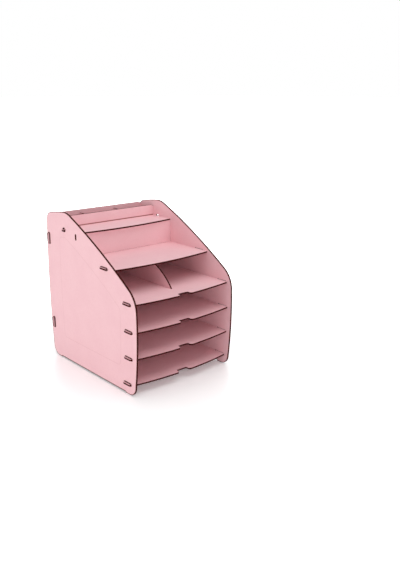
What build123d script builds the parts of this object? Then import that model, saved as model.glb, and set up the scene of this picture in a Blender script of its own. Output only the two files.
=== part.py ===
"""Desk document tray: thin boards with scorched edges, held together by tabs in slots.

X runs across the tray, Y from front to back, Z up. The origin is on the desk, in the middle of the tray.
"""

import os

from build123d import *

# Board stock and joints
board = 3.0  # thickness of every board
fit = 0.1  # clearance on each side of a tab in its slot
tab_length = 21.0  # length of a tab along the edge that it grows from
tab_reach = 3.6  # how far a tab stands out of the board that it passes through
tab_corner = 2.0  # rounding of a tab's outer corners
tab_margin = 15.4  # board left between a side's outline and the tabs of the shelves
slot_end_play = 0.8  # open length at each end of a slot in a side
shelf_slot_play = 0.8  # open height above a shelf's tab, which drops into its slot
step_slot_play = 2.7  # open height above a tab of the step
back_slot_play = 3.4  # open width in front of a tab of the back panel, which slides back in its slot
upright_corner = 6.0  # rounding of the upper corners of the back panel and the pen box's front

# Overall sizes
tray_width = 240.0  # over the outer faces of the two sides
side_depth = 313.0  # from the foremost to the rearmost point of a side
side_height = 321.6  # up to the corner of slope and top edge, before its rounding

# Paper shelves and the ledge above them, all with a bowed front edge
shelf_count = 4  # paper shelves below the ledge
first_shelf_top = 22.0
shelf_setback = 11.0  # from the front edge of a side to a front corner of a shelf
shelf_bow = 10.0  # how far the middle of a front edge stands out
shelf_tab_spacing = 120.0  # between the two tabs on a rear edge

# Finger notch in the front edge of a paper shelf
notch_width = 25.0
notch_depth = 11.0
notch_mouth_rounding = 5.0
notch_inner_rounding = 3.0

# Riser behind the ledge, and the step that lies on it
riser_height = 48.0
riser_ear = 10.7  # height of the ears that pass through the sides, at the riser's upper corners
riser_tab_spacing = 140.0  # between the two tabs that stand in the ledge
step_depth = 60.3  # from the riser's front face to the pen box
step_tab_length = 8.0  # length of the tabs that pass through the sides
step_tab_gap = 11.5  # from such a tab to the step's rear edge
step_tab_spacing = 130.0  # between the two tabs on the step's rear edge

# Pen box behind the step
pen_box_depth = 43.6  # clear depth, from its front wall to the back panel
pen_box_rise = 23.0  # height of its front wall above the step
pen_box_tab_spacing = 150.0  # between the two tabs that stand in the ledge
pen_divider_spacing = 87.0  # between the middles of the two dividers
pen_divider_drop = 6.0  # from the upper edge of the front wall down to that of a divider

# Divider of the bay under the ledge
bay_divider_setback = 47.5  # from the foremost point of the sides to its lower front corner
bay_divider_sweep = 83.5  # depth of its curved front edge
bay_divider_radius = 132.0  # radius of that edge
bay_front_tab = 140.0  # from the back panel to the middle of the front tab in the shelf below
bay_rear_tab = 60.0  # from the back panel to the middle of the rear tab there, and of the one above

# Back panel
back_inset = 8.6  # from the rearmost point of the sides to the panel's rear face
back_bottom = 4.0  # height of its lower edge above the desk
back_rise = 24.0  # height of its upper edge above the step

# Outline of a side: where its corners would be without their roundings, and the sweep of its edges
front_apex_height = 140.0  # where the bowed front edge stands furthest forward
front_edge_radius = 930.0
brow_rise = 12.0  # from the uppermost paper shelf to the corner of front edge and slope
slope_radius = 1200.0
crown_rise = 36.6  # from the step to the corner of slope and top edge
crown_inset = 83.6  # from the rearmost point of the side to that corner
top_edge_radius = 560.0
nape_drop = 10.6  # from that corner down to the corner of top edge and back edge
back_edge_radius = 2000.0
slope_rounding = 50.0  # rounding at both ends of the slope
corner_rounding = 20.0  # rounding of the other three corners

# Feet of a side: the two ends of its lower edge, which touch the desk
foot_length = 30.0
foot_height = 2.0

# Line engraved in the outer face of a side, parallel to its outline, with sloping flanks
engraving_inset = 51.0
engraving_rounding = 9.0
engraving_width = 0.7  # at the face of the board
engraving_floor = 0.1  # width at its bottom
engraving_depth = 0.15

# Heights that follow from the sizes above; the shelves and the ledge share evenly what is left to them
step_top = side_height - crown_rise
step_bottom = step_top - board
ledge_top = step_bottom - riser_height
ledge_bottom = ledge_top - board
shelf_pitch = (ledge_top - first_shelf_top) / shelf_count
shelf_tops = [first_shelf_top + shelf * shelf_pitch for shelf in range(shelf_count)]
tier_tops = [*shelf_tops, ledge_top]
riser_middle = ledge_top + riser_height / 2
wall_top = step_top + pen_box_rise
back_top = step_top + back_rise
back_tab_heights = (tier_tops[1] - board / 2, riser_middle)
bay_bottom = shelf_tops[-1]
bay_middle = (bay_bottom + ledge_bottom) / 2

# Places across the tray and from front to back
inner_width = tray_width - 2 * board
half_width = inner_width / 2
front = -side_depth / 2
rear = side_depth / 2
back_front = rear - back_inset - board
wall_rear = back_front - pen_box_depth
wall_front = wall_rear - board
riser_front = wall_front - step_depth
step_tab_middle = wall_front - step_tab_gap - step_tab_length / 2
bay_front = front + bay_divider_setback

# Pairs that lie evenly about the tray's middle
shelf_tab_places = (-shelf_tab_spacing / 2, shelf_tab_spacing / 2)
riser_tab_places = (-riser_tab_spacing / 2, riser_tab_spacing / 2)
step_tab_places = (-step_tab_spacing / 2, step_tab_spacing / 2)
wall_tab_places = (-pen_box_tab_spacing / 2, pen_box_tab_spacing / 2)
pen_divider_places = {"left": -pen_divider_spacing / 2, "right": pen_divider_spacing / 2}

# Tabs grow from the middle of a shape that lies half inside its board
long_reach = 2 * (board + tab_reach)
flush_reach = 2 * board

os.makedirs("parts", exist_ok=True)


def save(piece, name):
    """Label a finished board and write it to a file of its own."""
    piece.part.label = name
    export_step(piece.part, f"parts/{name}.step")


def cut_slots(places, width, height):
    """Cut a slot for one tab at each place of the open sketch, with clearance all round."""
    with Locations(*places):
        Rectangle(width + 2 * fit, height + 2 * fit, mode=Mode.SUBTRACT)


def bow_at(height, apex_height, radius):
    """Distance of a bowed upright edge from its foremost or rearmost point, at one height."""
    return radius - (radius**2 - (height - apex_height) ** 2) ** 0.5


def front_of(outline, height):
    """Y of the front edge of a side's outline at one height."""
    level = Edge.make_line((2 * front, height), (2 * rear, height))
    inside = outline.face().intersect(level)
    return inside.edges()[0].bounding_box().min.X


# Outlines of a side, drawn flat with Y to the right and Z up
brow_height = bay_bottom + brow_rise
nape_height = side_height - nape_drop
back_apex_height = nape_height / 2

toe = (front + bow_at(0, front_apex_height, front_edge_radius), 0)
brow = (front + bow_at(brow_height, front_apex_height, front_edge_radius), brow_height)
crown = (rear - crown_inset, side_height)
nape = (rear - bow_at(nape_height, back_apex_height, back_edge_radius), nape_height)
heel = (rear - bow_at(0, back_apex_height, back_edge_radius), 0)

with BuildSketch() as sharp_outline:
    with BuildLine():
        RadiusArc(toe, brow, front_edge_radius)
        RadiusArc(brow, crown, slope_radius)
        RadiusArc(crown, nape, top_edge_radius)
        RadiusArc(nape, heel, back_edge_radius)
        Line(heel, toe)
    make_face()

with BuildSketch() as side_outline:
    add(sharp_outline.sketch)
    slope_ends = [side_outline.vertices().sort_by_distance(corner)[0] for corner in (brow, crown)]
    fillet(slope_ends, slope_rounding)
    other_corners = [side_outline.vertices().sort_by_distance(corner)[0] for corner in (toe, nape, heel)]
    fillet(other_corners, corner_rounding)

with BuildSketch() as slot_limit:
    add(side_outline.sketch)
    offset(amount=-tab_margin, mode=Mode.REPLACE)


def inset_outline(inset, rounding):
    """Outline parallel to that of a side, at one distance within it."""
    with BuildSketch() as inner:
        add(sharp_outline.sketch)
        offset(amount=-inset, kind=Kind.INTERSECTION, mode=Mode.REPLACE)
        fillet(inner.vertices(), rounding)
    return inner.sketch


def tab_middle(top):
    """Y of the middle of the side tabs of the tier whose upper face is at this height."""
    return front_of(slot_limit.sketch, top - board / 2) + tab_length / 2


# The engraved line of the left side: a shallow plug whose flank slopes in, less one whose flank slopes out
outer_face = Plane.YZ.offset(-tray_width / 2)
engraving_bottom = outer_face.offset(engraving_depth)
flank = (engraving_width - engraving_floor) / 2
with BuildPart() as engraved_line:
    with BuildSketch(outer_face):
        add(inset_outline(engraving_inset, engraving_rounding))
    with BuildSketch(engraving_bottom):
        add(inset_outline(engraving_inset + flank, engraving_rounding - flank))
    loft(ruled=True)
    with BuildSketch(outer_face):
        add(inset_outline(engraving_inset + engraving_width, engraving_rounding - engraving_width))
    with BuildSketch(engraving_bottom):
        inner_flank = flank + engraving_floor
        add(inset_outline(engraving_inset + inner_flank, engraving_rounding - inner_flank))
    loft(ruled=True, mode=Mode.SUBTRACT)

# The two sides, one the mirror image of the other
with BuildPart() as left_side:
    with BuildSketch(outer_face):
        add(side_outline.sketch)
        with Locations(((toe[0] + heel[0]) / 2, 0)):
            Rectangle(heel[0] - toe[0] - 2 * foot_length, 2 * foot_height, mode=Mode.SUBTRACT)
        tier_slots = [(tab_middle(top), top + (shelf_slot_play - board) / 2) for top in tier_tops]
        cut_slots(tier_slots, tab_length + 2 * slot_end_play, board + shelf_slot_play)
        back_slots = [(back_front + (board - back_slot_play) / 2, height) for height in back_tab_heights]
        cut_slots(back_slots, board + back_slot_play, tab_length + 2 * slot_end_play)
        cut_slots([(riser_front + board / 2, step_bottom - riser_ear / 2)], board, riser_ear)
        step_slot = (step_tab_middle, step_top + (step_slot_play - board) / 2)
        cut_slots([step_slot], step_tab_length, board + step_slot_play)
    extrude(amount=board)
    add(engraved_line.part, mode=Mode.SUBTRACT)
save(left_side, "left_side")

with BuildPart() as right_side:
    mirror(left_side.part, about=Plane.YZ)
save(right_side, "right_side")

# Back panel, with a slot for every tab that reaches it
with BuildPart() as back_panel:
    with BuildSketch(Plane.XZ.offset(-back_front)) as panel_face:
        with Locations((0, (back_bottom + back_top) / 2)):
            Rectangle(inner_width, back_top - back_bottom)
        fillet(panel_face.vertices().group_by(Axis.Y)[-1], upright_corner)
        with Locations(*[(side * half_width, height) for side in (-1, 1) for height in back_tab_heights]):
            RectangleRounded(long_reach, tab_length, tab_corner)
        shelf_tabs = [(place, top - board / 2) for place in shelf_tab_places for top in tier_tops]
        cut_slots(shelf_tabs, tab_length, board)
        divider_tabs = [(place, riser_middle) for place in pen_divider_places.values()]
        cut_slots([*divider_tabs, (0, bay_middle)], board, tab_length)
    extrude(amount=-board)
save(back_panel, "back_panel")


def build_tier(name, top, notched, slots):
    """Build a shelf with a bowed front: its upper face's height, any notch, and slots as (place, size)."""
    corner = front_of(side_outline.sketch, top) + shelf_setback
    foremost = corner - shelf_bow
    with BuildPart() as tier:
        with BuildSketch(Plane.XY.offset(top - board)) as plan:
            with BuildLine():
                bow = ThreePointArc((-half_width, corner), (0, foremost), (half_width, corner))
                Polyline(bow @ 1, (half_width, back_front), (-half_width, back_front), bow @ 0)
            make_face()
            if notched:
                with Locations((0, foremost)):
                    Rectangle(notch_width, 2 * notch_depth, mode=Mode.SUBTRACT)
                notch = plan.vertices().filter_by_position(Axis.X, -notch_width, notch_width)
                fillet(notch.sort_by(Axis.Y)[:2], notch_mouth_rounding)
                notch = plan.vertices().filter_by_position(Axis.X, -notch_width, notch_width)
                fillet(notch.sort_by(Axis.Y)[-2:], notch_inner_rounding)
            with Locations((-half_width, tab_middle(top)), (half_width, tab_middle(top))):
                RectangleRounded(long_reach, tab_length, tab_corner)
            with Locations(*[(place, back_front) for place in shelf_tab_places]):
                RectangleRounded(tab_length, long_reach, tab_corner)
            for place, size in slots:
                cut_slots([place], *size)
        extrude(amount=board)
    save(tier, name)


# Paper shelves; the uppermost carries the bay divider
across = (tab_length, board)
along = (board, tab_length)
bay_front_slot = ((0, back_front - bay_front_tab), along)
bay_rear_slot = ((0, back_front - bay_rear_tab), along)
for number, shelf_top in enumerate(shelf_tops, start=1):
    bay_slots = [bay_front_slot, bay_rear_slot] if shelf_top == bay_bottom else []
    build_tier(f"paper_shelf_{number}", shelf_top, True, bay_slots)

# Ledge, which is also the floor of the pen box
riser_slots = [((place, riser_front + board / 2), across) for place in riser_tab_places]
wall_slots = [((place, wall_front + board / 2), across) for place in wall_tab_places]
build_tier("ledge_shelf", ledge_top, False, [bay_rear_slot, *riser_slots, *wall_slots])

# Riser, whose ears at the upper corners end flush with the sides
with BuildPart() as ledge_riser:
    with BuildSketch(Plane.XZ.offset(-riser_front)):
        with Locations((0, riser_middle)):
            Rectangle(inner_width, riser_height)
        with Locations((0, step_bottom - riser_ear / 2)):
            Rectangle(tray_width, riser_ear)
        with Locations(*[(place, ledge_top) for place in riser_tab_places]):
            Rectangle(tab_length, flush_reach)
    extrude(amount=-board)
save(ledge_riser, "ledge_riser")

# Step in front of the pen box, bowed like the shelves
with BuildPart() as pen_step:
    with BuildSketch(Plane.XY.offset(step_bottom)):
        with BuildLine():
            step_bow = ThreePointArc(
                (-half_width, riser_front), (0, riser_front - shelf_bow), (half_width, riser_front)
            )
            Polyline(step_bow @ 1, (half_width, wall_front), (-half_width, wall_front), step_bow @ 0)
        make_face()
        with Locations((-half_width, step_tab_middle), (half_width, step_tab_middle)):
            RectangleRounded(long_reach, step_tab_length, tab_corner)
        with Locations(*[(place, wall_front) for place in step_tab_places]):
            Rectangle(tab_length, flush_reach)
    extrude(amount=board)
save(pen_step, "pen_step")

# Front wall of the pen box, standing in the ledge
with BuildPart() as pen_box_front:
    with BuildSketch(Plane.XZ.offset(-wall_front)) as wall_face:
        with Locations((0, (ledge_top + wall_top) / 2)):
            Rectangle(inner_width, wall_top - ledge_top)
        fillet(wall_face.vertices().group_by(Axis.Y)[-1], upright_corner)
        with Locations(*[(place, ledge_top) for place in wall_tab_places]):
            Rectangle(tab_length, flush_reach)
        cut_slots([(place, step_bottom + board / 2) for place in step_tab_places], tab_length, board)
        cut_slots([(place, riser_middle) for place in pen_divider_places.values()], board, tab_length)
    extrude(amount=-board)
save(pen_box_front, "pen_box_front")

# Pen dividers, between the front wall and the back panel
divider_top = wall_top - pen_divider_drop
for side, place in pen_divider_places.items():
    with BuildPart() as pen_divider:
        with BuildSketch(Plane.YZ.offset(place - board / 2)):
            with Locations((wall_rear + pen_box_depth / 2, (ledge_top + divider_top) / 2)):
                Rectangle(pen_box_depth, divider_top - ledge_top)
            with Locations((wall_rear, riser_middle)):
                Rectangle(flush_reach, tab_length)
            with Locations((back_front, riser_middle)):
                RectangleRounded(long_reach, tab_length, tab_corner)
        extrude(amount=board)
    save(pen_divider, f"pen_divider_{side}")

# Bay divider, with its curved front, from the uppermost paper shelf up to the ledge
with BuildPart() as bay_divider:
    with BuildSketch(Plane.YZ.offset(-board / 2)):
        with BuildLine():
            brim = RadiusArc(
                (bay_front, bay_bottom), (bay_front + bay_divider_sweep, ledge_bottom), bay_divider_radius
            )
            Polyline(brim @ 1, (back_front, ledge_bottom), (back_front, bay_bottom), brim @ 0)
        make_face()
        with Locations((back_front - bay_front_tab, bay_bottom), (back_front - bay_rear_tab, bay_bottom)):
            Rectangle(tab_length, flush_reach)
        with Locations((back_front - bay_rear_tab, ledge_bottom)):
            Rectangle(tab_length, flush_reach)
        with Locations((back_front, bay_middle)):
            RectangleRounded(long_reach, tab_length, tab_corner)
    extrude(amount=board)
save(bay_divider, "bay_divider")
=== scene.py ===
"""Desk document tray: matt pink boards with scorched cut edges, standing in a bright studio."""

import logging
import math
from abc import ABC, abstractmethod
from dataclasses import dataclass, replace
from enum import Enum, IntEnum

import bpy
from mathutils import Matrix, Vector


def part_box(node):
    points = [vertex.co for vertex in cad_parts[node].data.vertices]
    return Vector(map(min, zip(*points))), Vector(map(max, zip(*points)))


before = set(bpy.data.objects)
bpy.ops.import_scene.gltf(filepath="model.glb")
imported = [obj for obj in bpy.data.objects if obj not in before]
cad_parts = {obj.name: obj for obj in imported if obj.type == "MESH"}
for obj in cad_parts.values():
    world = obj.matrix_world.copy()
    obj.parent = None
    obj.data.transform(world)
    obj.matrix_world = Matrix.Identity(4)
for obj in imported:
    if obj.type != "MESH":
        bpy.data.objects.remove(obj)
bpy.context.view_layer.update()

log = logging.getLogger("document_tray")

Colour = tuple[float, float, float]
Point = tuple[float, float, float]
Span = tuple[float, float]
Source = bpy.types.NodeSocket | Vector | tuple[float, ...] | float
Sockets = dict[str, bpy.types.NodeSocket]

WHITE: tuple[float, ...] = (1.0, 1.0, 1.0, 1.0)
ZERO_TO_ONE: Span = (0.0, 1.0)
ONE_TO_ZERO: Span = (1.0, 0.0)
NOISE_SPAN: Span = (0.3, 0.7)  # most values of a noise texture lie between these
FAR_OFF: float = 1.0  # further than anything within the tray, in metres


class Thickness(Enum):
    """The direction that a board's thickness runs in."""

    ACROSS = 0
    DEPTH = 1
    HEIGHT = 2


class Surface(IntEnum):
    """The kinds of surface on a board, in the order of its material slots."""

    PAINT = 0
    CUT = 1
    SMOKED = 2
    ENGRAVING = 3


@dataclass
class NodeBench:
    """A node tree that is being wired.

    Attributes:
        tree: The tree of a material, a world or a node group.
    """

    tree: bpy.types.NodeTree

    def add(self, kind: str, **settings: object) -> bpy.types.Node:
        """Add one node.

        Args:
            kind: The node's type name without its leading "ShaderNode", or a whole name that begins with
                "Node".
            settings: Properties to set on the node.

        Returns:
            The new node.
        """
        node = self.tree.nodes.new(kind if kind.startswith("Node") else f"ShaderNode{kind}")
        for name, value in settings.items():
            setattr(node, name, value)
        return node

    def feed(self, socket: bpy.types.NodeSocket, source: Source) -> None:
        """Link an output to an input, or set a plain value on it.

        Args:
            socket: The input.
            source: An output socket, or the value to set.
        """
        if isinstance(source, bpy.types.NodeSocket):
            self.tree.links.new(source, socket)
        else:
            socket.default_value = source

    def place(self) -> bpy.types.NodeSocket:
        """Return the place of the shaded point in the tray's frame, in metres."""
        return self.add("TexCoord").outputs["Object"]

    def coordinate(self, axis: str) -> bpy.types.NodeSocket:
        """Pick one coordinate of the shaded point.

        Args:
            axis: The letter of its axis.

        Returns:
            The coordinate, in metres.
        """
        parts = self.add("SeparateXYZ")
        self.feed(parts.inputs[0], self.place())
        return parts.outputs[axis]

    def math(self, operation: str, first: Source, second: Source = 0.0) -> bpy.types.NodeSocket:
        """Add a Math node.

        Args:
            operation: The node's operation, such as "MULTIPLY".
            first: Its first input.
            second: Its second input.

        Returns:
            The result.
        """
        node = self.add("Math", operation=operation)
        self.feed(node.inputs[0], first)
        self.feed(node.inputs[1], second)
        return node.outputs[0]

    def vector_math(self, operation: str, *sources: Source) -> bpy.types.NodeSocket:
        """Add a Vector Math node.

        Args:
            operation: The node's operation, such as "DISTANCE".
            sources: Its inputs.

        Returns:
            The result: a number for a length or a distance, and otherwise a vector.
        """
        node = self.add("VectorMath", operation=operation)
        for socket, source in zip(node.inputs, sources):
            self.feed(socket, source)
        return node.outputs["Value" if operation in ("LENGTH", "DISTANCE") else "Vector"]

    def span(self, value: Source, given: Span, wanted: Span = ZERO_TO_ONE) -> bpy.types.NodeSocket:
        """Map a span of values smoothly onto another one.

        Args:
            value: The value to map.
            given: Start and end of its span.
            wanted: The results there.

        Returns:
            The mapped value.
        """
        node = self.add("MapRange", interpolation_type="SMOOTHSTEP")
        for socket, source in zip(node.inputs, (value, *given, *wanted)):
            self.feed(socket, source)
        return node.outputs["Result"]

    def blend(self, share: Source, first: Source, second: Source) -> bpy.types.NodeSocket:
        """Mix two colours.

        Args:
            share: How much of the second colour to take, from 0 to 1.
            first: The first colour.
            second: The second colour.

        Returns:
            The mixed colour.
        """
        node = self.add("Mix", data_type="RGBA")
        self.feed(node.inputs["Factor"], share)
        for name, source in (("A", first), ("B", second)):
            socket = next(s for s in node.inputs if s.name == name and s.type == "RGBA")
            self.feed(socket, (*source, 1.0) if isinstance(source, tuple) else source)
        return next(s for s in node.outputs if s.type == "RGBA")

    def noise(self, place: bpy.types.NodeSocket, scale: Source, detail: float = 2.0) -> bpy.types.NodeSocket:
        """Add a Noise texture.

        Args:
            place: The coordinates to read it at, in metres.
            scale: Cells in a metre.
            detail: How many finer layers are added.

        Returns:
            The noise, about 0.5 on average.
        """
        node = self.add("TexNoise")
        self.feed(node.inputs["Vector"], place)
        self.feed(node.inputs["Scale"], scale)
        node.inputs["Detail"].default_value = detail
        return node.outputs["Fac"]

    def bump(self, height: Source, rise: float, strength: float = 1.0) -> bpy.types.NodeSocket:
        """Add a Bump node.

        Args:
            height: The height at each point, from 0 to 1.
            rise: What a height of 1 is in metres.
            strength: How strongly the bumps catch the light.

        Returns:
            The bumped normal.
        """
        node = self.add("Bump")
        node.inputs["Distance"].default_value = rise
        node.inputs["Strength"].default_value = strength
        self.feed(node.inputs["Height"], height)
        return node.outputs["Normal"]


def new_group(
    name: str, inputs: dict[str, Source], outputs: tuple[str, ...]
) -> tuple[NodeBench, Sockets, Sockets]:
    """Make an empty shader node group.

    Args:
        name: The group's name.
        inputs: Each input's name and its value, a number or a vector.
        outputs: The names of its outputs, which are numbers.

    Returns:
        The bench that wires it, its inputs by name and its outputs by name.
    """
    tree = bpy.data.node_groups.new(name, "ShaderNodeTree")
    for label, value in inputs.items():
        kind = "NodeSocketFloat" if isinstance(value, float) else "NodeSocketVector"
        tree.interface.new_socket(label, in_out="INPUT", socket_type=kind).default_value = value
    for label in outputs:
        tree.interface.new_socket(label, in_out="OUTPUT", socket_type="NodeSocketFloat")
    bench = NodeBench(tree)
    entry = bench.add("NodeGroupInput").outputs
    leave = bench.add("NodeGroupOutput").inputs
    return bench, {label: entry[label] for label in inputs}, {label: leave[label] for label in outputs}


def new_material(name: str) -> tuple[bpy.types.Material, NodeBench, bpy.types.Node]:
    """Make a material with nothing in it but its shader.

    Args:
        name: The material's name.

    Returns:
        The material, the bench that wires it and its Principled BSDF.
    """
    material = bpy.data.materials.new(name)
    material.use_nodes = True
    material.node_tree.nodes.clear()
    bench = NodeBench(material.node_tree)
    shader = bench.add("BsdfPrincipled")
    bench.feed(bench.add("OutputMaterial").inputs["Surface"], shader.outputs["BSDF"])
    return material, bench, shader


@dataclass(frozen=True)
class BoardFibre:
    """The felted fibres of the board, which show through every finish on it.

    Attributes:
        cloud_scale: Cells in a metre of the slow change over some centimetres.
        fibre_scale: Cells in a metre of the fine nap.
        fibre_detail: How many finer layers the nap has.
        fibre_share: How much of the nap is single fibres. The rest is tufts of them.
        tuft_scale: Scale of the tufts, as a share of the nap's.
    """

    cloud_scale: float = 24.0
    fibre_scale: float = 900.0
    fibre_detail: float = 4.0
    fibre_share: float = 0.65
    tuft_scale: float = 0.22

    def group(self) -> bpy.types.NodeTree:
        """Make the node group.

        Returns:
            The group. Cloud is the slow change, and Fibre is the nap.
        """
        scales = {"Cloud scale": self.cloud_scale, "Fibre scale": self.fibre_scale}
        bench, given, result = new_group("board_fibre", scales, ("Cloud", "Fibre"))
        place = bench.place()
        bench.feed(result["Cloud"], bench.span(bench.noise(place, given["Cloud scale"]), NOISE_SPAN))
        fibres = bench.noise(place, given["Fibre scale"], self.fibre_detail)
        tufts = bench.noise(place, bench.math("MULTIPLY", given["Fibre scale"], self.tuft_scale))
        fine = bench.math("MULTIPLY", fibres, self.fibre_share)
        coarse = bench.math("MULTIPLY", tufts, 1.0 - self.fibre_share)
        bench.feed(result["Fibre"], bench.math("ADD", fine, coarse))
        return bench.tree


@dataclass(frozen=True)
class BurnStreaks:
    """The marks of a burning cut: streaks that cross the edge of a board.

    Attributes:
        streak_scale: Cells in a metre of the fine ribbing.
        char_scale: Cells in a metre of the slow change from brown to black.
        detail: How many finer layers each of them has.
        streak_span: The noise at the bottom and at the top of a rib.
    """

    streak_scale: float = 1100.0
    char_scale: float = 60.0
    detail: float = 3.0
    streak_span: Span = (0.32, 0.68)

    def group(self) -> bpy.types.NodeTree:
        """Make the node group.

        Returns:
            The group. Streak is the fine ribbing, and Char is the slow change.
        """
        settings = {
            "Along the cut": (1.0, 1.0, 1.0),
            "Streak scale": self.streak_scale,
            "Char scale": self.char_scale,
        }
        bench, given, result = new_group("burn_streaks", settings, ("Streak", "Char"))
        place = bench.vector_math("MULTIPLY", bench.place(), given["Along the cut"])
        streak = bench.noise(place, given["Streak scale"], self.detail)
        bench.feed(result["Streak"], bench.span(streak, self.streak_span))
        char = bench.noise(place, given["Char scale"], self.detail)
        bench.feed(result["Char"], bench.span(char, NOISE_SPAN))
        return bench.tree


@dataclass(frozen=True)
class JointShade:
    """A dark band of painted shade on the front of an upright board, just over a flat one that lies against
    it, as if in a narrow gap at the joint.

    Attributes:
        height: Upper face of the flat board, in metres.
        depth: Middle of the upright board's thickness, in metres behind the tray's middle.
        width: Height of the line, in metres.
        strength: How dark the painted shade in it is.
    """

    height: float
    depth: float
    width: float = 0.0036
    strength: float = 0.6

    def painted_shade(self, bench: NodeBench) -> bpy.types.NodeSocket:
        """Tell how strong the painted shade of the joint is.

        Args:
            bench: The bench that wires the material.

        Returns:
            The strength, which is 0 away from the joint.
        """
        line = (self.height, self.height + self.width)
        over = bench.span(bench.coordinate("Z"), line, (self.strength, 0.0))
        in_front = bench.math("LESS_THAN", bench.coordinate("Y"), self.depth)
        return bench.math("MULTIPLY", over, in_front)


@dataclass(frozen=True)
class MattPaint:
    """Matt paint on fibreboard, with a trace of soot along every cut.

    Attributes:
        name: The material's name.
        colour: The paint.
        cloud_colour: The paint where it lies a little thicker.
        fibre_colour: The paint over single raised fibres.
        halo: The paint where it is only browned, at the rim of the soot.
        soot: The black left on the paint beside a cut.
        soot_reach: How deep the board is felt for a cut nearby, in metres.
        soot_samples: How many rays feel for it.
        soot_onset: How open the board is where the soot begins, and where it is strongest.
        soot_strength: How strong it is at the cut itself.
        browning: Strengths of the soot where the paint begins to brown, and where it is as brown as the halo.
        blackening: Strengths where the paint begins to blacken, and where it is as black as the soot.
        shade_and_smoke_strength: How strong the painted shade, with a smoke stain, is on a tab inside its
            slot.
        shade_and_smoke_fade: The length over which it begins and ends along the tab, in metres.
        clean_margin: How far from a side the other boards have no soot, in metres.
        slot_soot: How much more soot gathers round a slot, or how much less where it is negative.
        slot_zone: Distances from a slot's middle where that begins to fade and where it ends, in metres.
        fibre_onset: Heights of the nap where a fibre begins to show in the colour, and where it shows most.
        fibre_strength: How clearly it shows there.
        nap: Height of the fibres under the paint, in metres.
        nap_relief: How strongly they catch the light.
        roughness: How rough the paint is between the fibres and on them.
        specular: How strongly it mirrors.
    """

    name: str
    colour: Colour
    cloud_colour: Colour
    fibre_colour: Colour
    halo: Colour
    soot: Colour
    soot_reach: float = 0.0013
    soot_samples: int = 8
    soot_onset: Span = (0.85, 0.55)
    soot_strength: float = 0.25
    browning: Span = (0.0, 0.5)
    blackening: Span = (0.2, 1.0)
    shade_and_smoke_strength: float = 0.9
    shade_and_smoke_fade: float = 0.0004
    clean_margin: float = 0.002
    slot_soot: float = 0.0
    slot_zone: Span = (0.0095, 0.0115)
    fibre_onset: Span = (0.5, 0.68)
    fibre_strength: float = 0.6
    nap: float = 0.0001
    nap_relief: float = 0.6
    roughness: Span = (0.5, 0.66)
    specular: float = 0.35

    def material(
        self,
        fibre: bpy.types.NodeTree,
        sides: Span | None = None,
        slots: tuple[Vector, ...] = (),
        seam: JointShade | None = None,
    ) -> bpy.types.Material:
        """Make the material.

        Args:
            fibre: The group of the board's fibres.
            sides: Distances of the two faces of a side from the tray's middle plane, in metres, for boards
                whose tabs go through the sides.
            slots: The middles of the slots, for a face that has them.
            seam: The band of painted shade at a joint, for a board that has one.

        Returns:
            The material.
        """
        material, bench, shader = new_material(self.name)
        nap = bench.add("Group", node_tree=fibre).outputs
        sooty = self.soot_by_cuts(bench, slots)
        # Boards whose tabs go through the sides get painted shade on the tabs inside their slots, with a
        # smoke stain.
        if sides:
            sooty = self.shade_and_smoke_tabs(bench, sooty, sides)
        # The pen box's wall gets a band of painted shade at its joint with the step.
        if seam:
            sooty = bench.math("MAXIMUM", sooty, seam.painted_shade(bench))
        clouded = bench.blend(nap["Cloud"], self.colour, self.cloud_colour)
        raised = bench.span(nap["Fibre"], self.fibre_onset, (0.0, self.fibre_strength))
        painted = bench.blend(raised, clouded, self.fibre_colour)
        browned = bench.blend(bench.span(sooty, self.browning), painted, self.halo)
        blackened = bench.blend(bench.span(sooty, self.blackening), browned, self.soot)
        bench.feed(shader.inputs["Base Color"], blackened)
        bench.feed(shader.inputs["Roughness"], bench.span(nap["Fibre"], NOISE_SPAN, self.roughness))
        bench.feed(shader.inputs["Normal"], bench.bump(nap["Fibre"], self.nap, self.nap_relief))
        shader.inputs["Specular IOR Level"].default_value = self.specular
        return material

    def soot_by_cuts(self, bench: NodeBench, slots: tuple[Vector, ...]) -> bpy.types.NodeSocket:
        """Tell how strong the soot along the cuts is.

        Args:
            bench: The bench that wires the material.
            slots: The middles of the slots, for a face that has them.

        Returns:
            The strength, which is 0 away from the cuts.
        """
        edge = bench.add("AmbientOcclusion", inside=True, only_local=True, samples=self.soot_samples)
        edge.inputs["Distance"].default_value = self.soot_reach
        openness = edge.outputs["AO"]
        if slots:
            gathered = bench.math("MULTIPLY", self.near(bench, slots), self.slot_soot)
            openness = bench.math("SUBTRACT", openness, gathered)
        return bench.span(openness, self.soot_onset, (0.0, self.soot_strength))

    def shade_and_smoke_tabs(
        self, bench: NodeBench, sooty: bpy.types.NodeSocket, sides: Span
    ) -> bpy.types.NodeSocket:
        """Clean the board where it meets a side, and darken its tabs at the outer mouths of their slots with
        painted shade and a smoke stain.

        Args:
            bench: The bench that wires the material.
            sooty: The soot along all cuts.
            sides: Distances of the two faces of a side from the tray's middle plane, in metres.

        Returns:
            The strength of soot and stain together.
        """
        inner, outer = sides
        middle = (inner + outer) / 2
        mouth = (outer, outer + self.shade_and_smoke_fade)
        halfway = (middle - self.shade_and_smoke_fade, middle + self.shade_and_smoke_fade)
        across = bench.math("ABSOLUTE", bench.coordinate("X"))
        within = bench.span(across, (inner - self.clean_margin, inner), ONE_TO_ZERO)
        proud = bench.span(across, mouth)
        kept = bench.math("MULTIPLY", sooty, bench.math("MAXIMUM", within, proud))
        # Painted shade of the slot, with a smoke stain, on the tab from the middle of the side out to its
        # outer face.
        entered = bench.span(across, halfway, (0.0, self.shade_and_smoke_strength))
        not_yet_out = bench.span(across, mouth, ONE_TO_ZERO)
        return bench.math("MAXIMUM", kept, bench.math("MULTIPLY", entered, not_yet_out))

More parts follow.
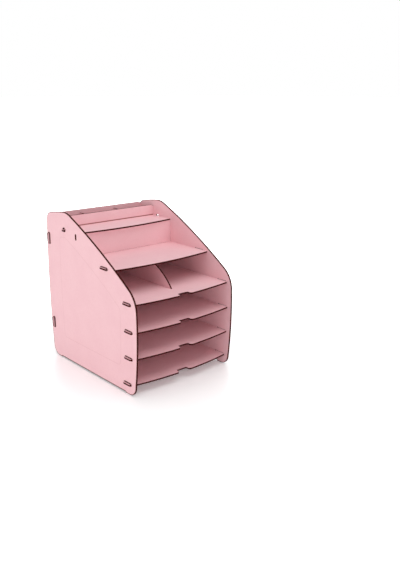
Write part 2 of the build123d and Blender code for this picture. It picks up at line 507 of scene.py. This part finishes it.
    def near(self, bench: NodeBench, slots: tuple[Vector, ...]) -> bpy.types.NodeSocket:
        """Tell where a face of a side is close to one of its slots.

        Args:
            bench: The bench that wires the material.
            slots: The middles of the slots.

        Returns:
            1 round each slot, and 0 elsewhere.
        """
        upright = Vector((0.0, 1.0, 1.0))
        on_face = bench.vector_math("MULTIPLY", bench.place(), upright)
        nearest: Source = FAR_OFF
        for slot in slots:
            distance = bench.vector_math("DISTANCE", on_face, slot * upright)
            nearest = bench.math("MINIMUM", nearest, distance)
        return bench.span(nearest, self.slot_zone, ONE_TO_ZERO)


@dataclass(frozen=True)
class ScorchedCut:
    """The edge of a board as a burning cut leaves it.

    Attributes:
        name: The beginning of the materials' names.
        char: The blackest parts.
        brown: The parts that are only browned.
        rib: Height of the ribs across the edge, in metres.
        stretch: Scale of the ribs along the board's thickness, as a share of their scale along the cut.
        nap_share: How high the fibres stand in the cut, as a share of the ribs' height.
        roughness: How rough the cut is between the ribs and on them.
        specular: How strongly it mirrors.
    """

    name: str
    char: Colour
    brown: Colour
    rib: float = 0.00008
    stretch: float = 0.05
    nap_share: float = 0.5
    roughness: Span = (0.75, 0.92)
    specular: float = 0.0

    def material(
        self, way: Thickness, streaks: bpy.types.NodeTree, fibre: bpy.types.NodeTree
    ) -> bpy.types.Material:
        """Make the material for boards whose thickness runs one way.

        Args:
            way: That way.
            streaks: The group of the burning cut's marks.
            fibre: The group of the board's fibres.

        Returns:
            The material.
        """
        material, bench, shader = new_material(f"{self.name}_{way.name.lower()}")
        marks = bench.add("Group", node_tree=streaks)
        along = [self.stretch if axis == way.value else 1.0 for axis in range(3)]
        marks.inputs["Along the cut"].default_value = along
        streak, char = marks.outputs["Streak"], marks.outputs["Char"]
        browned = bench.math("MULTIPLY", char, streak)
        bench.feed(shader.inputs["Base Color"], bench.blend(browned, self.char, self.brown))
        bench.feed(shader.inputs["Roughness"], bench.span(streak, ZERO_TO_ONE, self.roughness))
        nap = bench.add("Group", node_tree=fibre).outputs["Fibre"]
        height = bench.math("ADD", streak, bench.math("MULTIPLY", nap, self.nap_share))
        bench.feed(shader.inputs["Normal"], bench.bump(height, self.rib))
        shader.inputs["Specular IOR Level"].default_value = self.specular
        return material


@dataclass(frozen=True)
class LightEngraving:
    """A shallow engraved line, painted darker than the paint round it as painted shade of its groove.

    Attributes:
        name: The material's name.
        colour: The line where its painted shade is faintest.
        deep_colour: The line where its painted shade is darkest.
        fibre_scale: Cells in a metre of the nap in the line.
        shade_span: Heights of the nap where the line's painted shade is faintest, and where it is darkest.
        roughness: How rough the line is.
        specular: How strongly it mirrors.
    """

    name: str
    colour: Colour
    deep_colour: Colour
    fibre_scale: float = 1500.0
    shade_span: Span = (0.35, 0.65)
    roughness: float = 0.8
    specular: float = 0.2

    def material(self, fibre: bpy.types.NodeTree) -> bpy.types.Material:
        """Make the material.

        Args:
            fibre: The group of the board's fibres.

        Returns:
            The material.
        """
        material, bench, shader = new_material(self.name)
        nap = bench.add("Group", node_tree=fibre)
        nap.inputs["Fibre scale"].default_value = self.fibre_scale
        # The groove is painted darker than the paint as its shade, varied at random by the nap.
        groove_shade = bench.span(nap.outputs["Fibre"], self.shade_span)
        bench.feed(shader.inputs["Base Color"], bench.blend(groove_shade, self.colour, self.deep_colour))
        shader.inputs["Roughness"].default_value = self.roughness
        shader.inputs["Specular IOR Level"].default_value = self.specular
        return material


@dataclass
class BoardFinishes:
    """The finishes that every board of the tray shares.

    Attributes:
        paint: The painted faces.
        smoked: The outer faces of the sides, where the smoke of the cutting has settled.
        smoked_inside: Their inner faces.
        cut: The edges, slots and tab ends.
        engraving: The line in the outer faces of the sides.
        sides: Distances of the two faces of a side from the tray's middle plane, in metres.
        slots: The middles of the slots in a side that shelves and step lie in.
        riser_slots: The middles of its slots that the riser stands in.
        seam: The band of painted shade at the joint on the front of the pen box.
    """

    paint: MattPaint
    smoked: MattPaint
    smoked_inside: MattPaint
    cut: ScorchedCut
    engraving: LightEngraving
    sides: Span
    slots: tuple[Vector, ...]
    riser_slots: tuple[Vector, ...]
    seam: JointShade

    def __post_init__(self) -> None:
        """Make the node groups and materials once."""
        fibre = BoardFibre().group()
        streaks = BurnStreaks().group()
        plain = self.paint.material(fibre)
        # Paint for boards with tabs, which adds painted shade inside the slots.
        paint_on_tabs = replace(self.paint, name=f"{self.paint.name}_on_tabs")
        tabbed = paint_on_tabs.material(fibre, sides=self.sides)
        self.paints = {way: plain if way is Thickness.ACROSS else tabbed for way in Thickness}
        self.outside = self.smoked.material(fibre, slots=self.slots)
        self.inside = self.smoked_inside.material(fibre, slots=(*self.slots, *self.riser_slots))
        # Paint for the pen box's wall, with a band of painted shade at the joint with the step.
        paint_with_joint_shade = replace(self.paint, name=f"{self.paint.name}_with_seam")
        self.joint_shaded = paint_with_joint_shade.material(fibre, sides=self.sides, seam=self.seam)
        self.engraved = self.engraving.material(fibre)
        self.cuts = {way: self.cut.material(way, streaks, fibre) for way in Thickness}

    def of_board(self, way: Thickness) -> list[bpy.types.Material]:
        """Return the materials of a board whose thickness runs this way, in the order of Surface."""
        return [self.paints[way], self.cuts[way]]

    def of_wall(self, way: Thickness) -> list[bpy.types.Material]:
        """Return the materials of the pen box's front wall, in the order of Surface."""
        return [self.joint_shaded, self.cuts[way]]

    def of_side(self) -> list[bpy.types.Material]:
        """Return the materials of a side, in the order of Surface."""
        return [self.inside, self.cuts[Thickness.ACROSS], self.outside, self.engraved]


@dataclass
class Board:
    """One board of the tray, as the solid model gives it.

    Attributes:
        node: The board's name.
        thickness: The way that its thickness runs.
        facing: How far a painted face's normal runs that way, at least.
        joining: Distance below which two corners are one, in metres.
        easing: Width of the softened arrises, in metres.
        easing_steps: Facets across a softened arris.
        arris_angle: The least angle that makes an edge an arris, in degrees.
    """

    node: str
    thickness: Thickness
    facing: float = 0.9
    joining: float = 1e-6
    easing: float = 0.0002
    easing_steps: int = 2
    arris_angle: float = 60.0

    def dress(self, finishes: BoardFinishes) -> bpy.types.Object:
        """Give each face its finish, and soften the arrises.

        Args:
            finishes: The tray's finishes.

        Returns:
            The board's object.
        """
        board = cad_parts[self.node]
        board.data.materials.clear()
        for material in self.materials(finishes):
            board.data.materials.append(material)
        for polygon in board.data.polygons:
            polygon.material_index = self.surface_of(polygon)
        self.ease(board)
        return board

    def materials(self, finishes: BoardFinishes) -> list[bpy.types.Material]:
        """Return the board's materials, in the order of Surface."""
        return finishes.of_board(self.thickness)

    def surface_of(self, polygon: bpy.types.MeshPolygon) -> Surface:
        """Tell what kind of surface a face is: across the thickness it is paint, and otherwise a cut."""
        return Surface.PAINT if abs(polygon.normal[self.thickness.value]) > self.facing else Surface.CUT

    def ease(self, board: bpy.types.Object) -> None:
        """Soften the arrises a little, as sanding before painting does.

        Args:
            board: The board's object.
        """
        weld = board.modifiers.new("joined_faces", "WELD")
        weld.merge_threshold = self.joining
        bevel = board.modifiers.new("eased_arrises", "BEVEL")
        bevel.width = self.easing
        bevel.segments = self.easing_steps
        bevel.limit_method = "ANGLE"
        bevel.angle_limit = math.radians(self.arris_angle)
        bevel.material = Surface.CUT
        shading = board.modifiers.new("flat_faces", "WEIGHTED_NORMAL")
        shading.keep_sharp = True


@dataclass
class SideBoard(Board):
    """A side of the tray, with a line engraved in its outer face.

    Attributes:
        engraving_depth: Depth of that line, in metres.
        engraving_faces: The middles of its faces lie between these shares of that depth.
    """

    thickness: Thickness = Thickness.ACROSS
    engraving_depth: float = 0.00015
    engraving_faces: Span = (0.1, 1.1)

    def __post_init__(self) -> None:
        """Find how far the outer face is from the tray's middle plane."""
        self.outer_face = max(abs(corner[self.thickness.value]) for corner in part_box(self.node))

    def materials(self, finishes: BoardFinishes) -> list[bpy.types.Material]:
        """Return the side's materials, in the order of Surface."""
        return finishes.of_side()

    def surface_of(self, polygon: bpy.types.MeshPolygon) -> Surface:
        """Tell what kind of surface a face is, by its depth below the outer face.

        Args:
            polygon: The face.

        Returns:
            The kind of surface.
        """
        depth = self.outer_face - abs(polygon.center[self.thickness.value])
        shallowest, deepest = (share * self.engraving_depth for share in self.engraving_faces)
        if depth > deepest:
            return super().surface_of(polygon)
        return Surface.SMOKED if depth < shallowest else Surface.ENGRAVING


@dataclass
class WallBoard(Board):
    """The front wall of the pen box, with a band of painted shade where the step lies against it."""

    def materials(self, finishes: BoardFinishes) -> list[bpy.types.Material]:
        """Return the wall's materials, in the order of Surface."""
        return finishes.of_wall(self.thickness)


class Assembly(ABC):
    """Boards of the tray that belong together."""

    @abstractmethod
    def boards(self) -> list[Board]:
        """Return the boards."""

    def dress(self, finishes: BoardFinishes) -> list[bpy.types.Object]:
        """Dress every board and return their objects."""
        return [board.dress(finishes) for board in self.boards()]


@dataclass
class SidePair(Assembly):
    """The two sides, which carry every other board in their slots.

    Attributes:
        nodes: The names of the sides.
    """

    nodes: tuple[str, ...] = ("left_side", "right_side")

    @property
    def faces(self) -> Span:
        """Distances of the inner and the outer face of a side from the tray's middle plane, in metres."""
        inner, outer = sorted(abs(corner[Thickness.ACROSS.value]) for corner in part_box(self.nodes[0]))
        return inner, outer

    def slots(self, boards: tuple[str, ...]) -> tuple[Vector, ...]:
        """Find the slots of a side by the tabs that come through them.

        Args:
            boards: The names of boards with one tab on that side each.

        Returns:
            The middle of each slot.
        """
        inside_slot = sum(self.faces) / 2
        middles = []
        for name in boards:
            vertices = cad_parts[name].data.vertices
            tab = [vertex.co for vertex in vertices if vertex.co.x > inside_slot]
            low, high = (Vector([pick(values) for values in zip(*tab)]) for pick in (min, max))
            middles.append((low + high) / 2)
        return tuple(middles)

    def boards(self) -> list[Board]:
        """Return both sides."""
        return [SideBoard(name) for name in self.nodes]


@dataclass
class ShelfStack(Assembly):
    """The paper shelves, the ledge over them and the divider of the bay between.

    Attributes:
        paper_shelves: How many paper shelves there are.
        ledge: The name of the ledge.
        divider: The name of the divider.
    """

    paper_shelves: int = 4
    ledge: str = "ledge_shelf"
    divider: str = "bay_divider"

    @property
    def shelves(self) -> tuple[str, ...]:
        """Names of all the shelves, from the lowest up."""
        return (*(f"paper_shelf_{number}" for number in range(1, self.paper_shelves + 1)), self.ledge)

    def boards(self) -> list[Board]:
        """Return the shelves and the divider."""
        shelves = [Board(name, Thickness.HEIGHT) for name in self.shelves]
        return [*shelves, Board(self.divider, Thickness.ACROSS)]


@dataclass
class PenBox(Assembly):
    """The riser and step behind the ledge, and the pen box behind them.

    Attributes:
        riser: The name of the upright board under the step.
        step: The name of the flat board on top of the riser.
        wall: The name of the box's front wall, behind the step.
        dividers: The names of the box's dividers.
    """

    riser: str = "ledge_riser"
    step: str = "pen_step"
    wall: str = "pen_box_front"
    dividers: tuple[str, ...] = ("pen_divider_left", "pen_divider_right")

    @property
    def seam(self) -> JointShade:
        """Find the band of painted shade at the joint of the step and the wall.

        Returns:
            Where the painted shade of the joint lies.
        """
        step_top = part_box(self.step)[1][Thickness.HEIGHT.value]
        wall_faces = [corner[Thickness.DEPTH.value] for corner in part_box(self.wall)]
        return JointShade(height=step_top, depth=sum(wall_faces) / 2)

    def boards(self) -> list[Board]:
        """List the boards from the front to the back.

        Returns:
            The boards.
        """
        front = [Board(self.riser, Thickness.DEPTH), Board(self.step, Thickness.HEIGHT)]
        dividers = [Board(name, Thickness.ACROSS) for name in self.dividers]
        return [*front, WallBoard(self.wall, Thickness.DEPTH), *dividers]


@dataclass
class BackPanel(Assembly):
    """The panel that closes the tray behind.

    Attributes:
        node: The panel's name.
    """

    node: str = "back_panel"

    def boards(self) -> list[Board]:
        """Return the panel in a list."""
        return [Board(self.node, Thickness.DEPTH)]


@dataclass(frozen=True)
class SoftLight:
    """A large soft lamp.

    Attributes:
        name: Its name.
        place: Its middle, in metres.
        width: Its width, in metres.
        height: Its height, in metres.
        power: Its power, in watts.
        aim: The point that it faces.
    """

    name: str
    place: Point
    width: float
    height: float
    power: float
    aim: Point = (0.0, 0.0, 0.15)

    def build(self) -> bpy.types.Object:
        """Make the lamp, hidden from the camera.

        Returns:
            The lamp.
        """
        data = bpy.data.lights.new(self.name, "AREA")
        data.shape = "RECTANGLE"
        data.size = self.width
        data.size_y = self.height
        data.energy = self.power
        lamp = bpy.data.objects.new(self.name, data)
        lamp.location = self.place
        lamp.rotation_euler = (Vector(self.aim) - Vector(self.place)).to_track_quat("-Z", "Y").to_euler()
        lamp.visible_camera = False
        bpy.context.scene.collection.objects.link(lamp)
        return lamp


@dataclass(frozen=True)
class TrayCamera:
    """The camera, placed as for the photograph.

    Attributes:
        place: Where it stands, in metres.
        yaw: Its turn from the tray's depth direction to the right, in degrees.
        pitch: How far it looks down, in degrees.
        roll: Its turn about its own line of sight, in degrees.
        focal_pixels: Its focal length, in pixels of a picture of this width.
        picture_width: That width, in pixels.
        sight: The nearest and the furthest distance that it sees, in metres.
    """

    place: Point = (-0.7786, -1.0707, 0.5554)
    yaw: float = 41.57
    pitch: float = 16.5
    roll: float = -0.143
    focal_pixels: float = 660.7
    picture_width: int = 400
    sight: Span = (0.01, 100.0)

    def build(self) -> bpy.types.Object:
        """Make the camera and take it into use.

        Returns:
            The camera.
        """
        data = bpy.data.cameras.new("tray_camera")
        data.sensor_fit = "HORIZONTAL"
        data.lens = data.sensor_width * self.focal_pixels / self.picture_width
        data.clip_start, data.clip_end = self.sight
        camera = bpy.data.objects.new("tray_camera", data)
        yaw, pitch, roll = (math.radians(angle) for angle in (self.yaw, self.pitch, self.roll))
        aim = Matrix.Rotation(-yaw, 4, "Z") @ Matrix.Rotation(math.pi / 2 - pitch, 4, "X")
        camera.matrix_world = Matrix.Translation(self.place) @ aim @ Matrix.Rotation(-roll, 4, "Z")
        bpy.context.scene.collection.objects.link(camera)
        bpy.context.scene.camera = camera
        return camera


@dataclass
class Studio:
    """White floor, white surroundings and soft lamps.

    Attributes:
        lamps: The lamps.
        floor_reach: Half the floor's width, in metres.
        floor_colour: The floor.
        floor_roughness: How rough the floor is.
        floor_glow: White that the floor adds where it is seen, near the tray and far from it.
        near_and_far: Those distances from the tray's middle, in metres.
        ambient: Strength of the light from all round.
    """

    lamps: tuple[SoftLight, ...]
    floor_reach: float = 40.0
    floor_colour: Colour = (0.9, 0.9, 0.9)
    floor_roughness: float = 0.35
    floor_glow: Span = (0.15, 1.0)
    near_and_far: Span = (0.12, 0.67)
    ambient: float = 0.4

    def build(self) -> None:
        """Make the floor, the surroundings and the lamps."""
        self.build_floor()
        self.build_world()
        for lamp in self.lamps:
            log.info("lamp %s", lamp.build().name)
        bpy.context.scene.view_settings.view_transform = "Standard"

    def build_floor(self) -> None:
        """Make the floor, which shows white to the camera apart from the tray's shadow."""
        signs = ((-1, -1), (1, -1), (1, 1), (-1, 1))
        corners = [(x * self.floor_reach, y * self.floor_reach, 0.0) for x, y in signs]
        mesh = bpy.data.meshes.new("floor")
        mesh.from_pydata(corners, [], [(0, 1, 2, 3)])
        floor = bpy.data.objects.new("floor", mesh)
        material, bench, shader = new_material("white_floor")
        shader.inputs["Base Color"].default_value = (*self.floor_colour, 1.0)
        shader.inputs["Roughness"].default_value = self.floor_roughness
        shader.inputs["Emission Color"].default_value = WHITE
        distance = bench.vector_math("LENGTH", bench.place())
        glow = bench.span(distance, self.near_and_far, self.floor_glow)
        bench.feed(shader.inputs["Emission Strength"], bench.math("MULTIPLY", self.seen(bench), glow))
        mesh.materials.append(material)
        bpy.context.scene.collection.objects.link(floor)

    @staticmethod
    def seen(bench: NodeBench) -> bpy.types.NodeSocket:
        """Tell where the studio is seen, by itself or mirrored, instead of giving light.

        Args:
            bench: The bench that wires the material or the world.

        Returns:
            1 where it is seen, and 0 elsewhere.
        """
        path = bench.add("LightPath").outputs
        mirrored = bench.math("MAXIMUM", path["Is Glossy Ray"], path["Is Transmission Ray"])
        return bench.math("MAXIMUM", path["Is Camera Ray"], mirrored)

    def build_world(self) -> None:
        """Make the surroundings: plain white where they are seen, and softer as light."""
        world = bpy.data.worlds.new("white_surroundings")
        world.use_nodes = True
        world.node_tree.nodes.clear()
        bench = NodeBench(world.node_tree)
        strength = bench.add("Mix", data_type="FLOAT")
        bench.feed(strength.inputs["Factor"], self.seen(bench))
        strength.inputs["A"].default_value = self.ambient
        strength.inputs["B"].default_value = 1.0
        glow = bench.add("Background")
        glow.inputs["Color"].default_value = WHITE
        bench.feed(glow.inputs["Strength"], strength.outputs["Result"])
        bench.feed(bench.add("OutputWorld").inputs["Surface"], glow.outputs["Background"])
        bpy.context.scene.world = world


def main() -> None:
    """Dress the tray, light it and place the camera."""
    logging.basicConfig(level=logging.INFO, format="%(name)s: %(message)s")
    sides, stack, pen_box = SidePair(), ShelfStack(), PenBox()
    paint = MattPaint(
        name="pink_paint",
        colour=(0.862, 0.54, 0.572),
        cloud_colour=(0.847, 0.52, 0.555),
        fibre_colour=(0.8, 0.47, 0.505),
        halo=(0.42, 0.135, 0.12),
        soot=(0.045, 0.006, 0.0055),
    )
    smoked = replace(
        paint,
        name="smoked_paint",
        soot_reach=0.0029,
        soot_onset=(0.86, 0.66),
        soot_strength=0.93,
        slot_soot=0.06,
    )
    finishes = BoardFinishes(
        paint=paint,
        smoked=smoked,
        smoked_inside=replace(smoked, name="smoked_paint_inside", slot_soot=-0.5),
        cut=ScorchedCut(
            name="scorched_cut",
            char=(0.042, 0.0055, 0.005),
            brown=(0.085, 0.015, 0.012),
        ),
        engraving=LightEngraving(
            name="engraved_line",
            colour=(0.79, 0.475, 0.505),
            deep_colour=(0.73, 0.415, 0.445),
        ),
        sides=sides.faces,
        slots=sides.slots((*stack.shelves, pen_box.step)),
        riser_slots=sides.slots((pen_box.riser,)),
        seam=pen_box.seam,
    )
    for assembly in (sides, BackPanel(), stack, pen_box):
        for board in assembly.dress(finishes):
            log.info("board %s", board.name)
    left = SoftLight("left_light", place=(-2.2, 0.2, 0.35), width=3.2, height=0.6, power=20.0)
    top = SoftLight(
        "top_light", place=(-0.1, -0.6, 2.4), width=2.4, height=2.4, power=32.0, aim=(0.0, 0.0, 0.0)
    )
    front = SoftLight("front_light", place=(0.0, -2.3, 0.6), width=2.6, height=1.2, power=12.5)
    rear = SoftLight("rear_light", place=(1.6, 1.7, 0.4), width=2.6, height=0.6, power=18.0)
    Studio(lamps=(left, top, front, rear)).build()
    TrayCamera().build()


if __name__ == "__main__":
    main()
